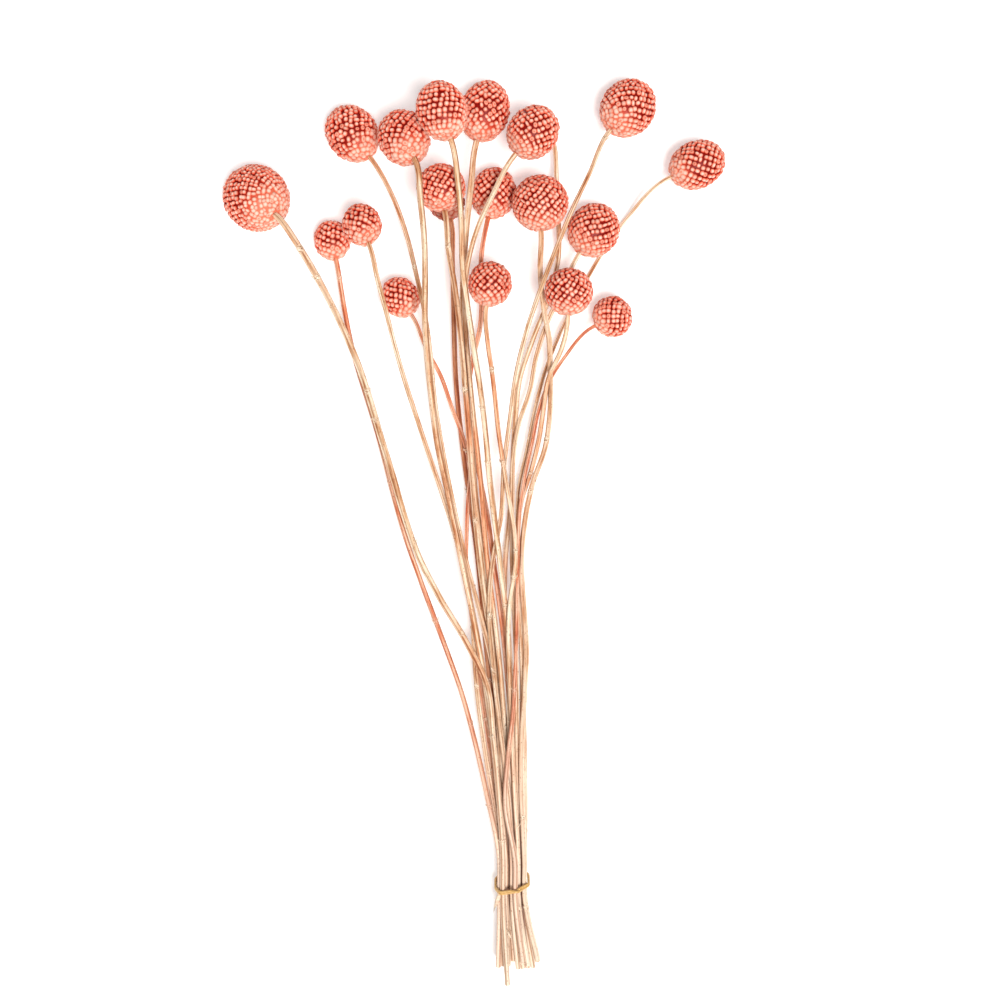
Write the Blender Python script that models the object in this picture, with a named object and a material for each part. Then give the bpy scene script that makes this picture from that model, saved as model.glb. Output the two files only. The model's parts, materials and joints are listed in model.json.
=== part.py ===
"""A bunch of twenty dried billy buttons, tied near the cut ends and lying on a flat surface.

X runs across the bunch, +Y from the rubber band to the heads, +Z up, and the surface is z = 0.
All the sizes below are millimetres, and y is measured from the front of the rubber band.
The scene itself is in metres. Each flower is a head of florets on a bare stem. The routes are
followed by eye, and the stems are then eased apart until none touches another stem or head.
"""

import math
import random
from collections import namedtuple

import bmesh
import bpy
import numpy as np
from mathutils import Matrix, Vector

MM = 0.001                # metres in one millimetre
GAP = 0.3                 # air left between two surfaces that touch
SEED = 11

FLORET_RELIEF = 1.4       # how far a floret's tip stands over the valleys round it
FLORET_PROUD = 0.25       # how far the tips stand over a head's measured outline
FLORET_UNEVEN = 0.15      # share by which the relief varies from floret to floret
FLORET_ROWS = 5           # rows of florets along each side of the cube that a head starts from
LARGE_HEAD_ROWS = 7
LARGE_HEAD = 17.0         # a head with a half width over this takes the larger count
FLATTENED = 0.7           # how much of a resting head's lowest florets is pressed flat

TIE_STEM = 1.5            # radius of every stem where the band holds it
SLOT_PITCH = 3.4          # spacing of the stems under the band, which lie in close rows
ROW_RISE = SLOT_PITCH * math.sin(math.radians(60))
TIE_MIDDLE = 6.4          # how far the band's middle is from its front, which lies at y = 0
TIE_STRAIGHT = 9.0        # the stems run parallel this far on both sides of the band's middle
BAND_RADIUS = 1.0
BAND_TILT = 37.0          # degrees, with the band's top towards the cut ends
BAND_SLANT = 8.0          # degrees, with the band's right side towards the heads
BAND_POINTS = 32
FAN_SPREAD = 1.6          # the cut ends fan out to this many times their spacing in the tie
FAN_LEAN = 3.3            # and lean this far to +X
FAN_RISE = 1.15

STEM_KNOTS = 19           # points along each stem
KNOTS_UP = 0.8            # under 1 sets them closer towards the head
NECK_STRAIGHT = 3.0       # last stretch of a stem, in line with its head
SLICE = 4.0               # spacing of the cross sections in which the stems are eased apart
EASE_ROUNDS = 700

RESTS = None              # height of a head that lies on the surface
TAN, SALMON, BROWN = "tan_stem", "salmon_stem", "brown_stem"

# head: centre of the head. across, along: half its width and half its length.
# slot: row (0 is the lowest) and place across, in half spacings, under the band.
# tail: length beyond the band. route: points from the band to where the stem enters the head.
# swing: how far the cut end is off its place in the fan, to +X.
Flower = namedtuple("Flower", "head across along stem colour slot tail route swing",
                    defaults=(0.0,))

FLOWERS = [
    Flower(head=(-138.5, 375.8, RESTS), across=18.1, along=20.0, stem=1.8, colour=TAN,
           slot=(4, -3), tail=51.0,
           route=[(-10, 82, 15.5), (-16, 119, 17), (-24, 134, 18), (-47, 174, 19),
                  (-68.5, 239, 22), (-84, 288, 24), (-105.5, 333, 28), (-114, 347, 29.5),
                  (-121, 355, 30), (-127.5, 365.5, 28)], swing=2.4),
    Flower(head=(-98.1, 353.9, RESTS), across=10.3, along=11.4, stem=1.4, colour=SALMON,
           slot=(3, -4), tail=42.0,
           route=[(-14.4, 55, 12), (-28, 109, 12), (-43, 150, 12), (-59, 195, 12),
                  (-74, 251, 12), (-87.5, 297, 11.5), (-92, 320, 11), (-94.7, 337.5, 11),
                  (-95.7, 342.5, 11)]),
    Flower(head=(-80.8, 360.1, 26.0), across=11.0, along=12.1, stem=1.3, colour=TAN,
           slot=(2, -3), tail=42.0,
           route=[(-11, 52, 10), (-19.5, 114, 12), (-22.5, 158, 14), (-34, 204, 17),
                  (-45.6, 239, 20), (-62, 291, 24), (-69.3, 320, 27), (-75.5, 344, 29),
                  (-77, 350, 29)]),
    Flower(head=(-86.8, 411.2, RESTS), across=14.4, along=16.8, stem=1.3, colour=TAN,
           slot=(2, -1), tail=39.0,
           route=[(-5, 49, 10), (-12, 131, 12.5), (-22, 169, 12), (-31, 207, 12),
                  (-42, 267, 14), (-46, 305, 15), (-52.9, 338, 16), (-58, 358, 16),
                  (-66.3, 380, 16), (-73.3, 393, 15.8), (-77, 398, 15.5)]),
    Flower(head=(-57.8, 405.4, 34.0), across=14.4, along=16.3, stem=1.7, colour=TAN,
           slot=(3, -2), tail=40.5,
           route=[(-7, 55, 12.5), (-17, 128, 14.5), (-28, 183, 21), (-36, 223, 27),
                  (-40.5, 245, 30), (-43, 266, 33), (-46.3, 303, 37), (-46.2, 334, 43),
                  (-47.2, 361, 46.5), (-50, 381, 45), (-51.5, 392, 42)]),
    Flower(head=(-37.1, 416.0, 53.5), across=13.9, along=16.3, stem=1.6, colour=TAN,
           slot=(2, 1), tail=41.0,
           route=[(-2, 60, 10.5), (-2, 131, 12), (-7, 180, 20), (-12, 220, 28), (-16, 262, 35),
                  (-22, 302, 42), (-26.6, 338, 46), (-27.3, 367, 49.5), (-30.3, 390, 52),
                  (-32, 400, 53)]),
    Flower(head=(-15.0, 422.2, 20.0), across=14.0, along=17.3, stem=1.7, colour=TAN,
           slot=(0, -1), tail=41.0,
           route=[(-4, 59, 5), (-11, 136, 6), (-16, 185, 8), (-20, 212, 11), (-22, 261, 15),
                  (-26, 299, 17), (-25.2, 343, 19), (-22.5, 372, 20), (-20.3, 393, 20.5),
                  (-19.2, 406, 20.5)]),
    Flower(head=(11.0, 408.4, 34.0), across=13.9, along=15.5, stem=1.4, colour=TAN,
           slot=(1, 0), tail=43.0,
           route=[(-2, 59, 8), (-8, 136, 10), (-14, 185, 14), (-17, 223, 18), (-22, 271, 24),
                  (-25, 322, 28), (-24, 337, 29.5), (-20.9, 350, 30), (-16.2, 364, 30.5),
                  (-9, 378, 31), (3, 398.5, 33)]),
    Flower(head=(62.8, 425.0, RESTS), across=15.2, along=17.1, stem=1.3, colour=TAN,
           slot=(3, 0), tail=43.0,
           route=[(-2, 55, 12), (-10, 125, 14), (-11, 173, 15), (-6, 196, 16), (-4, 223, 18),
                  (-2.8, 240, 20), (0, 256, 22), (3.2, 278, 25), (6.5, 293, 27), (16, 322, 29),
                  (26.7, 351, 26), (37.6, 379, 22), (45.8, 396, 20), (53.6, 413, 18)]),
    Flower(head=(100.5, 394.6, RESTS), across=13.3, along=16.3, stem=1.05, colour=TAN,
           slot=(0, 3), tail=42.5,
           route=[(5, 53, 4), (5, 130, 5), (3, 180, 7), (3, 218, 8), (8, 242, 8.5),
                  (16, 279, 8), (26, 305, 6), (41.5, 336, 3.5), (46, 344, 3), (59.6, 364, 4),
                  (67, 371.5, 7), (77.8, 380, 11), (87.5, 388.5, 13)]),
    Flower(head=(-38.1, 378.8, 34.0), across=13.6, along=13.3, stem=1.5, colour=TAN,
           slot=(1, -2), tail=43.0,
           route=[(-5, 59, 7), (-11, 128, 9), (-17, 169, 15), (-22, 223, 21), (-26.3, 282, 26),
                  (-30.8, 326, 30), (-34.8, 351, 33), (-36, 366, 34)]),
    Flower(head=(-35.5, 374.2, RESTS), across=10.1, along=10.1, stem=1.4, colour=BROWN,
           slot=(0, -3), tail=41.0,
           route=[(-7, 59, 4), (-14, 130, 5), (-20, 190, 6), (-26, 233, 6.5), (-30.5, 275, 7),
                  (-32, 321, 9), (-33.5, 365, 10)]),
    Flower(head=(-10.1, 379.2, RESTS), across=12.8, along=14.7, stem=1.4, colour=SALMON,
           slot=(1, 2), tail=44.0,
           route=[(1, 59, 7), (-4, 130, 8), (-10, 178, 9), (-14, 206, 9), (-20, 237, 9),
                  (-24, 269, 9), (-20, 297, 9), (-16.8, 310, 9), (-16.5, 325, 9),
                  (-17.3, 340, 10.5), (-14.5, 357, 12), (-13, 366, 13)]),
    Flower(head=(14.9, 371.8, 26.5), across=15.6, along=15.6, stem=1.5, colour=TAN,
           slot=(3, 4), tail=38.0,
           route=[(5, 68, 12), (8, 131, 12.5), (6, 188, 13.5), (11, 218, 14), (20, 245, 14.5),
                  (22, 277, 14.5), (21, 308, 15), (17.3, 326, 18.5), (16.5, 337, 21),
                  (15.8, 350, 24), (15.5, 357, 25.5)]),
    Flower(head=(44.3, 358.8, RESTS), across=14.3, along=15.4, stem=1.3, colour=TAN,
           slot=(2, 3), tail=43.0,
           route=[(3, 60, 9.3), (2, 130, 9), (0, 180, 9.5), (0, 204, 10), (3, 251, 10),
                  (10, 273, 9.5), (15, 298, 8.5), (27, 326, 8.5), (37, 347, 14)]),
    Flower(head=(-61.0, 322.8, RESTS), across=10.6, along=12.0, stem=1.1, colour=SALMON,
           slot=(1, -4), tail=40.0,
           route=[(-10, 59, 6.5), (-19, 125, 6.5), (-25, 183, 8), (-24, 211, 10),
                  (-24, 239, 10), (-30, 254, 10), (-35.2, 270, 10.5), (-43, 289, 11),
                  (-48, 297, 11), (-52.3, 307, 10.8), (-54.5, 312.5, 10.5)]),
    Flower(head=(-12.0, 328.7, 23.0), across=12.2, along=12.7, stem=1.3, colour=TAN,
           slot=(3, 2), tail=41.0,
           route=[(1, 60, 12.5), (-1, 103, 13), (-2, 151, 15.5), (2, 185, 18), (-2, 215, 20),
                  (-7, 247, 20.5), (-10, 275, 21), (-14, 306, 22), (-14, 316, 22.5)]),
    Flower(head=(30.4, 324.4, 24.0), across=13.5, along=13.2, stem=1.3, colour=TAN,
           slot=(1, 4), tail=40.5,
           route=[(7, 59, 6.6), (5, 130, 8), (3, 180, 9), (3, 204, 10), (12, 235, 12.5),
                  (16, 254, 14), (19, 276, 17), (28, 298, 20.5), (30, 311, 23)]),
    Flower(head=(54.6, 312.2, RESTS), across=11.7, along=11.2, stem=1.0, colour=SALMON,
           slot=(4, 1), tail=39.0,
           route=[(-4, 54, 15), (0, 87, 15.5), (3, 136, 14.5), (4, 176, 14), (6, 214, 12.5),
                  (12, 245, 12), (18, 271, 12), (28, 289, 11.5), (45, 307, 11.5)]),
    Flower(head=(15.8, 418.5, RESTS), across=8.7, along=8.7, stem=1.4, colour=TAN,
           slot=(0, 1), tail=45.0,
           route=[(1, 59, 4), (-3, 130, 4.5), (-4, 174, 5), (-2, 196, 5), (1, 240, 6),
                  (4, 277, 7), (12, 302, 7.5), (23.8, 335, 8), (25.2, 344, 8),
                  (25.3, 362, 8.5), (24.2, 389, 9), (22.8, 401, 9), (21, 410, 9)]),
]

# Base colour, roughness and metallic value.
MATERIALS = {
    "coral_florets": ((0.74, 0.20, 0.13), 0.75, 0.0),
    TAN: ((0.72, 0.50, 0.30), 0.60, 0.0),
    SALMON: ((0.78, 0.38, 0.22), 0.60, 0.0),
    BROWN: ((0.48, 0.23, 0.12), 0.65, 0.0),
    "rubber": ((0.62, 0.40, 0.12), 0.55, 0.0),
}


def clear_scene():
    for old in list(bpy.data.objects):
        bpy.data.objects.remove(old, do_unlink=True)


def make_material(name):
    colour, roughness, metallic = MATERIALS[name]
    material = bpy.data.materials.new(name)
    material.use_nodes = True
    shader = material.node_tree.nodes["Principled BSDF"]
    shader.inputs["Base Color"].default_value = (*colour, 1.0)
    shader.inputs["Roughness"].default_value = roughness
    shader.inputs["Metallic"].default_value = metallic
    return material


class Head:
    """Where a flower's head is, which way it faces and where its stem meets it."""

    def __init__(self, flower):
        x, y, z = flower.head
        if z is RESTS:
            z = flower.across + FLORET_PROUD - FLATTENED
        self.rests = flower.head[2] is RESTS
        self.centre = Vector((x, y, z))
        self.axis = (self.centre - Vector(flower.route[-1])).normalized()
        self.across = flower.across + FLORET_PROUD
        self.along = flower.along + FLORET_PROUD
        self.rows = LARGE_HEAD_ROWS if flower.across > LARGE_HEAD else FLORET_ROWS
        half_step = math.tan(math.radians(45) / self.rows)
        self.seat = (self.along - FLORET_RELIEF) / math.sqrt(1 + 2 * half_step ** 2)
        self.neck = self.centre - self.axis * (self.seat + GAP)


def tie_slot(flower):
    """Middle of the flower's stem under the band, in the plane across the bunch."""
    row, place = flower.slot
    lowest = 2 * BAND_RADIUS + GAP + TIE_STEM
    return place * SLOT_PITCH / 2, lowest + row * ROW_RISE


def smooth_route(points, heights):
    """Read x and z off the smooth curve through the points, at each y in heights."""
    points = np.array(points, dtype=float)
    y = points[:, 1]
    slopes = np.gradient(points, y, axis=0)
    span = np.clip(np.searchsorted(y, heights) - 1, 0, len(y) - 2)
    width = (y[span + 1] - y[span])[:, None]
    t = ((heights - y[span])[:, None]) / width
    start, end = points[span], points[span + 1]
    a = (1 + 2 * t) * (1 - t) ** 2 * start + t * (1 - t) ** 2 * width * slopes[span]
    b = t * t * (3 - 2 * t) * end + t * t * (t - 1) * width * slopes[span + 1]
    curve = a + b
    curve[:, 1] = heights
    return curve


def first_knots(flower, head):
    """Points along a stem as followed by eye, before it is eased clear of its neighbours."""
    slot_x, slot_z = tie_slot(flower)
    lowest = 2 * BAND_RADIUS + GAP + TIE_STEM
    end_x = FAN_SPREAD * slot_x + FAN_LEAN + flower.swing
    end_z = TIE_STEM + GAP + FAN_RISE * (slot_z - lowest)
    tie_end = TIE_MIDDLE + TIE_STRAIGHT
    tie = [(end_x, -flower.tail, end_z), (slot_x, TIE_MIDDLE - TIE_STRAIGHT, slot_z),
           (slot_x, tie_end, slot_z)]
    before_neck = head.neck - head.axis * NECK_STRAIGHT
    middle = [p for p in flower.route[:-1] if p[1] < before_neck.y - NECK_STRAIGHT]
    through = [tie[2]] + middle + [tuple(before_neck)]
    share = np.linspace(0, 1, STEM_KNOTS - 3) ** KNOTS_UP
    heights = tie_end + (before_neck.y - tie_end) * share
    curve = smooth_route(through, heights)
    return np.vstack([tie[:2], curve, [tuple(head.neck)]])


def stem_radius(flower, y):
    """Radius at y: the same for all in the tie, then each stem's own."""
    share = np.clip((y - 2 * TIE_STRAIGHT) / 150.0, 0.0, 1.0)
    return TIE_STEM + (flower.stem - TIE_STEM) * share


class Slices:
    """Cross sections of the bunch: which stems each one cuts, and between which knots."""

    def __init__(self, knots, radii):
        count = knots.shape[1]
        low, high = knots[:, :, 1].min(), knots[:, :, 1].max()
        stem, knot, share, radius, level = [], [], [], [], []
        for height in np.arange(low, high, SLICE):
            for i, line in enumerate(knots):
                if not line[0, 1] <= height <= line[-1, 1]:
                    continue
                k = min(np.searchsorted(line[:, 1], height, side="right") - 1, count - 2)
                t = (height - line[k, 1]) / (line[k + 1, 1] - line[k, 1])
                stem.append(i)
                knot.append(i * count + k)
                share.append(t)
                radius.append((1 - t) * radii[i, k] + t * radii[i, k + 1])
                level.append(height)
        self.stem, self.knot = np.array(stem), np.array(knot)
        self.share, self.radius = np.array(share), np.array(radius)
        self.level = np.array(level)
        first, second = np.triu_indices(len(stem), 1)
        same = self.level[first] == self.level[second]
        self.first, self.second = first[same], second[same]

    def points(self, flat):
        t = self.share[:, None]
        return (1 - t) * flat[self.knot] + t * flat[self.knot + 1]

    def directions(self, flat):
        run = flat[self.knot + 1] - flat[self.knot]
        return run / np.linalg.norm(run, axis=1, keepdims=True)


def push_pairs(slices, flat, push):
    """Add to push what parts each two stems that come too close."""
    points, runs = slices.points(flat), slices.directions(flat)
    a, b = slices.first, slices.second
    apart = points[a] - points[b]
    run = runs[a] + runs[b]
    run /= np.linalg.norm(run, axis=1, keepdims=True)
    apart = apart - run * np.sum(apart * run, axis=1, keepdims=True)
    distance = np.linalg.norm(apart, axis=1)
    short = slices.radius[a] + slices.radius[b] + GAP - distance
    close = short > 0
    step = apart[close] / distance[close, None] * short[close, None] / 2
    np.add.at(push, a[close], step)
    np.add.at(push, b[close], -step)


def push_from_heads(slices, flat, heads, push):
    """Add to push what clears each stem from the other flowers' heads."""
    points = slices.points(flat)
    for i, head in enumerate(heads):
        away = points - np.array(head.centre)
        axis = np.array(head.axis)
        along = away @ axis
        reach = slices.radius + GAP
        stretch = (head.across + reach) / (head.along + reach)
        scaled = away + np.outer(along * (stretch - 1), axis)
        distance = np.linalg.norm(scaled, axis=1)
        short = head.across + reach - distance
        close = (short > 0) & (slices.stem != i)
        push[close] += away[close] / distance[close, None] * short[close, None]


def ease_apart(knots, radii, heads):
    """Move the knots in x and z until the stems clear each other, the heads and the surface."""
    stems, count, _ = knots.shape
    flat = knots.reshape(-1, 3).copy()
    drawn = flat.copy()
    floor = radii.reshape(-1) + GAP / 3
    free = np.ones((stems, count, 1))
    free[:, :3] = 0
    free[:, -2:] = 0
    free = free.reshape(-1, 1)
    slices = Slices(knots, radii)
    for turn in range(EASE_ROUNDS):
        push = np.zeros((len(slices.knot), 3))
        push_pairs(slices, flat, push)
        push_from_heads(slices, flat, heads, push)
        move, weight = np.zeros_like(flat), np.full((len(flat), 1), 1e-9)
        touched = np.any(push != 0, axis=1)
        for offset, share in ((0, 1 - slices.share), (1, slices.share)):
            knot, part = slices.knot[touched] + offset, share[touched, None]
            np.add.at(move, knot, part * push[touched])
            np.add.at(weight, knot, part)
        move = move / np.maximum(weight, 0.4)
        move[:, 1] = 0
        flat += 0.9 * free * move
        softness = 0.25 * max(0.0, 1 - turn / (0.6 * EASE_ROUNDS))
        shift = (flat - drawn).reshape(stems, count, 3)
        bend = np.zeros_like(shift)
        bend[:, 1:-1] = shift[:, :-2] - 2 * shift[:, 1:-1] + shift[:, 2:]
        flat += softness * free * bend.reshape(-1, 3)
        flat[:, 2] = np.maximum(flat[:, 2], floor)
    return flat.reshape(stems, count, 3)


def tube(name, points, radii, material, cyclic=False):
    """A six-sided tube through the points, with closed ends unless it is a ring."""
    thickest = max(radii)
    curve = bpy.data.curves.new(name, "CURVE")
    curve.dimensions = "3D"
    curve.bevel_depth = thickest * MM
    curve.bevel_resolution = 1
    curve.use_fill_caps = not cyclic
    spline = curve.splines.new("POLY")
    spline.points.add(len(points) - 1)
    for target, point, radius in zip(spline.points, points, radii):
        target.co = (*(Vector(point) * MM), 1.0)
        target.radius = radius / thickest
    spline.use_cyclic_u = cyclic
    curve.materials.append(material)
    return bpy.data.objects.new(name, curve)


def head_object(name, head, material, draw):
    """A ball of florets: a cube's faces rounded into a ball, each one raised to a point."""
    mesh_builder = bmesh.new()
    bmesh.ops.create_cube(mesh_builder, size=2.0)
    bmesh.ops.subdivide_edges(mesh_builder, edges=mesh_builder.edges[:],
                              cuts=head.rows - 1, use_grid_fill=True)
    for vert in mesh_builder.verts:
        vert.co = Vector([math.tan(c * math.radians(45)) for c in vert.co]).normalized()
    seat = min(mesh_builder.faces, key=lambda face: face.calc_center_median().z)
    raised = [face for face in mesh_builder.faces if face is not seat]
    tips = set(bmesh.ops.poke(mesh_builder, faces=raised)["verts"])
    for vert in mesh_builder.verts:
        outward = vert.co.normalized()
        depth = FLORET_RELIEF * (draw.uniform(0, FLORET_UNEVEN) if vert in tips else 1.0)
        across, along = head.across - depth, head.along - depth
        vert.co = Vector((outward.x * across, outward.y * across, outward.z * along)) * MM
    mesh = bpy.data.meshes.new(name)
    mesh_builder.to_mesh(mesh)
    mesh_builder.free()
    mesh.materials.append(material)
    ball = bpy.data.objects.new(name, mesh)
    spin = Matrix.Rotation(draw.uniform(0, math.tau), 4, "Z")
    turn = head.axis.to_track_quat("Z", "Y").to_matrix().to_4x4()
    ball.matrix_world = Matrix.Translation(head.centre * MM) @ turn @ spin
    return ball


def band_object(flowers, material):
    """The rubber band: a tilted ring drawn round the outside of the stems in the tie."""
    slots = [Vector(tie_slot(flower)) for flower in flowers]
    middle = (min(s.y for s in slots) + max(s.y for s in slots)) / 2
    offset = TIE_STEM + GAP + BAND_RADIUS
    tilt = math.tan(math.radians(BAND_TILT))
    slant = math.tan(math.radians(BAND_SLANT))
    points = []
    for step in range(BAND_POINTS):
        angle = math.tau * (step + 0.5) / BAND_POINTS
        outward = Vector((math.cos(angle), math.sin(angle)))
        outermost = max(slots, key=outward.dot)
        x, z = outermost + outward * offset
        points.append((x, TIE_MIDDLE + slant * x - tilt * (z - middle), z))
    return tube("rubber_band", points, [BAND_RADIUS] * BAND_POINTS, material, cyclic=True)


def table_cutter(collection):
    """The surface as a slab, which presses the lowest florets of the resting heads flat."""
    bpy.ops.mesh.primitive_cube_add(size=1.0)
    slab = bpy.context.object
    slab.name = "surface_cutter"
    for vert in slab.data.vertices:
        vert.co = (vert.co.x, vert.co.y + 0.4, (vert.co.z - 0.5) * 0.02)
    slab.hide_render = True
    slab.display_type = "WIRE"
    for owner in list(slab.users_collection):
        owner.objects.unlink(slab)
    collection.objects.link(slab)
    return slab


def centre_bunch(bunch, parts):
    """Shift the bunch so that the middle of its box stands over the origin."""
    bpy.context.view_layer.update()
    graph = bpy.context.evaluated_depsgraph_get()
    corners = []
    for part in parts:
        mesh_owner = part.evaluated_get(graph)
        mesh = mesh_owner.to_mesh()
        corners += [part.matrix_world @ vert.co for vert in mesh.vertices]
        mesh_owner.to_mesh_clear()
    for i in range(2):
        values = [corner[i] for corner in corners]
        bunch.location[i] = -(min(values) + max(values)) / 2


def build():
    clear_scene()
    bunch_collection = bpy.data.collections.new("billy_buttons_bunch")
    cutters = bpy.data.collections.new("cutters")
    for collection in (bunch_collection, cutters):
        bpy.context.scene.collection.children.link(collection)
    materials = {name: make_material(name) for name in MATERIALS}
    draw = random.Random(SEED)

    heads = [Head(flower) for flower in FLOWERS]
    drawn = np.array([first_knots(flower, head) for flower, head in zip(FLOWERS, heads)])
    radii = np.array([stem_radius(flower, line[:, 1]) for flower, line in zip(FLOWERS, drawn)])
    knots = ease_apart(drawn, radii, heads)

    slab = table_cutter(cutters)
    parts = []
    for number, (flower, head) in enumerate(zip(FLOWERS, heads), start=1):
        ball = head_object(f"head_{number:02d}", head, materials["coral_florets"], draw)
        if head.rests:
            press = ball.modifiers.new("pressed_flat", "BOOLEAN")
            press.operation = "DIFFERENCE"
            press.solver = "EXACT"
            press.object = slab
        stem = tube(f"stem_{number:02d}", knots[number - 1], radii[number - 1],
                    materials[flower.colour])
        parts += [ball, stem]
    parts.append(band_object(FLOWERS, materials["rubber"]))

    bunch = bpy.data.objects.new("bunch", None)
    bunch_collection.objects.link(bunch)
    for part in parts:
        bunch_collection.objects.link(part)
        part.parent = bunch
    centre_bunch(bunch, parts)


build()
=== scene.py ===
import json
import math

import bmesh
import bpy
import numpy as np
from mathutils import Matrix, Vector


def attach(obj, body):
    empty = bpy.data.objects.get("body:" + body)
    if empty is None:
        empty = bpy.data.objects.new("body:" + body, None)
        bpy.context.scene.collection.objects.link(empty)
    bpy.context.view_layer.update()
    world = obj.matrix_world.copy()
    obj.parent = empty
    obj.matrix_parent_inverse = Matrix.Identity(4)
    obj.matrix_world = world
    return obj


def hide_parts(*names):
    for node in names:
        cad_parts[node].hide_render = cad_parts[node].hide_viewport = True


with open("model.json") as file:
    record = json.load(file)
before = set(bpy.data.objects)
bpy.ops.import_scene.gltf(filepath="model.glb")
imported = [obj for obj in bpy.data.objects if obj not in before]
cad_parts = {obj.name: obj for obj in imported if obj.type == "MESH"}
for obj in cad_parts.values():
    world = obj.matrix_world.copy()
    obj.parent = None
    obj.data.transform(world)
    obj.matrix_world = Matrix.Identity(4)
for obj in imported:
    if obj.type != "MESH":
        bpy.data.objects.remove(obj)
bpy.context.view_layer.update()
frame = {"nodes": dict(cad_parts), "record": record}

# All lengths are metres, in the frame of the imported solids: +Y from the cut ends to the heads.
MM = 0.001
SEED = 7

# The camera looks straight down on the bunch.
CAMERA_AT = (0.01391, 0.01707, 1.1)
CAMERA_LENS = 72
CAMERA_SENSOR = 36

# The studio: a pale floor that glows a little, an even surround and one soft light.
WORLD_COLOUR = (1.0, 0.99, 0.985, 1.0)
WORLD_STRENGTH = 0.44
KEY_DIRECTION = (-0.20, 0.32, -1.0)
KEY_STRENGTH = 3.2
KEY_SPREAD = 20           # degrees
KEY_COLOUR = (1.0, 0.99, 0.97)
FLOOR_HALF = 4.0
FLOOR_BELOW = 0.1 * MM
FLOOR_COLOUR = (0.90, 0.90, 0.90, 1.0)
FLOOR_GLOW = 0.34
FLOOR_GLOSS = (0.9, 0.2)  # roughness and specular level, as every gloss below

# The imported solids: the sides of a stem, the gap under a head, how far a head's relief is cut in
# and stands proud, and the rows of bumps on each side of the cube that it is made from.
PACKED_STEM_SIDES = 6
SEAT_GAP = 0.3 * MM
PACKED_RELIEF = 1.4 * MM
PACKED_PROUD = 0.25 * MM
PACKED_DIGITS = 7         # corners that agree to this many decimals are one
PACKED_ROWS = 5
LARGEST_HEAD = 1
LARGEST_HEAD_ROWS = 7

# The florets, each a blunt peg with a domed tip. They are spread over the head along a spiral, a
# little unevenly, more so on the old heads. Those by the stem are wider.
FLORET_PITCH = 2.95 * MM
LARGEST_HEAD_PITCH = 2.6 * MM
FLORET_UNEVEN = 0.075     # of the spacing
OLD_HEADS = {1: 0.12, 4: 0.12, 5: 0.10, 7: 0.10}
SPIRAL_LEAN = 0.12
FLORET_LEAN = 0.08
ENTRY_MARGIN = 0.3        # of the pitch, left free round the stem
FLORET_SIDES = 8
FLORET_SQUARENESS = 2.4   # 2 is round, and more is squarer
FLORET_DEPTH = 2.4 * MM
# Each ring's height as a share of the floret's depth, its half width as a share of the pitch and
# its place on the colour ramps.
RINGS_OF_A_FLORET = ((0.00, 0.34, 0.00), (0.40, 0.42, 0.42), (0.63, 0.46, 0.66),
                     (0.81, 0.40, 0.84), (0.93, 0.25, 0.95))
WIDTH_VARIES = 0.075
WIDER_BY_STEM = 0.20
SQUASH_VARIES = 0.11
TIP_SUNK = 0.22 * MM      # below the head's outline, give or take the next, at most the third
TIP_VARIES = 0.20 * MM
TIP_LOWEST = 0.8 * MM
OPEN_FLORETS = 0.14       # share of the florets that are open, with a hollow tip
OPEN_DEPTH = 0.40 * MM
# A hollow tip's place on the colour ramps sits lower and darker than a closed tip's: painted shade
# in the hollow.
OPEN_TIP_SHADE = 0.70
# The florets' tones are drawn at random from the first range. A head that lies in another's
# shadow, as head 12 does under head 11, takes the second, darker range: painted shade.
USUAL_TONES = (0.45, 1.0)
SHADED_HEAD_TONES = (0.0, 0.3)
SHADED_HEADS = (12,)
# A direction whose part along the head's axis is under the first of these is all by the stem, and
# one over the second isn't at all, with a soft step between.
STEM_SIDE = (-0.88, -0.22)

# The core that the florets stand in, which is shallower and paler by the stem. The paleness is
# painted light, as if light filled the gaps there.
CORE_DEPTH = 1.9 * MM
CORE_DEPTH_BY_STEM = 0.9 * MM
CORE_ROWS = 12
# The core's place on the colour ramps, near the dark root: partly painted shade in the gaps.
CORE_TINT = 0.04
CORE_TINT_BY_STEM = 0.54  # added to it

# The stalks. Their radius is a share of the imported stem's, and it wavers along them.
STEM_SEEDS = 100
STEM_SIDES = 16
STEM_STEP = 3.0 * MM
CLOSEST_RINGS = 0.12 * MM
STEM_INTO_HEAD = 1.2 * MM
STEM_FILL = 0.96
STEM_WAVER = 0.02
WAVER_POINTS = 24
RIDGE_DEPTH = 0.085
# Each set of ridges round a stalk: how many, their share of the depth and which way they twist.
RIDGES = ((3, 0.40, 1), (5, 0.40, 1), (6, 0.20, -1))
LARGEST_TWIST = 7.0       # radians in a metre
# How strongly the grooves between the ridges are darkened: painted shade.
GROOVE_SHADE_GAIN = 1.6
CUT_ROUNDING = 0.7 * MM
CUT_NARROWS = 0.28
WORN_RINGS = (0.25, 0.6, 1.0)  # of the rounding

# The knots. Each swells by a share of the radius, with a crease just above it. Their reach and
# widths, and where the crease is, are counted in knot lengths.
KNOT_HEIGHT = 0.10
KNOT_LENGTH = 1.3 * MM
KNOT_SAMPLES = 4
KNOT_REACH = 2.2
KNOT_TONE_WIDTH = 1.25
CREASE_AT = 1.3
CREASE_WIDTH = 0.5
CREASE_DEPTH = 0.4        # of the swelling
SEEN_STRENGTH = (0.8, 1.4)
OTHER_STRENGTH = (0.4, 1.0)
STRONG_KNOT = 0.7
# Where the other knots are, in millimetres: the first from the cut end, their spacing, how far
# they stay below the lowest that shows, and the Y that they go up to where none shows.
FIRST_KNOT = (14, 40)
KNOT_SPACING = (38, 80)
KNOTS_APART = 25
KNOTS_UP_TO = -20

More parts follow.
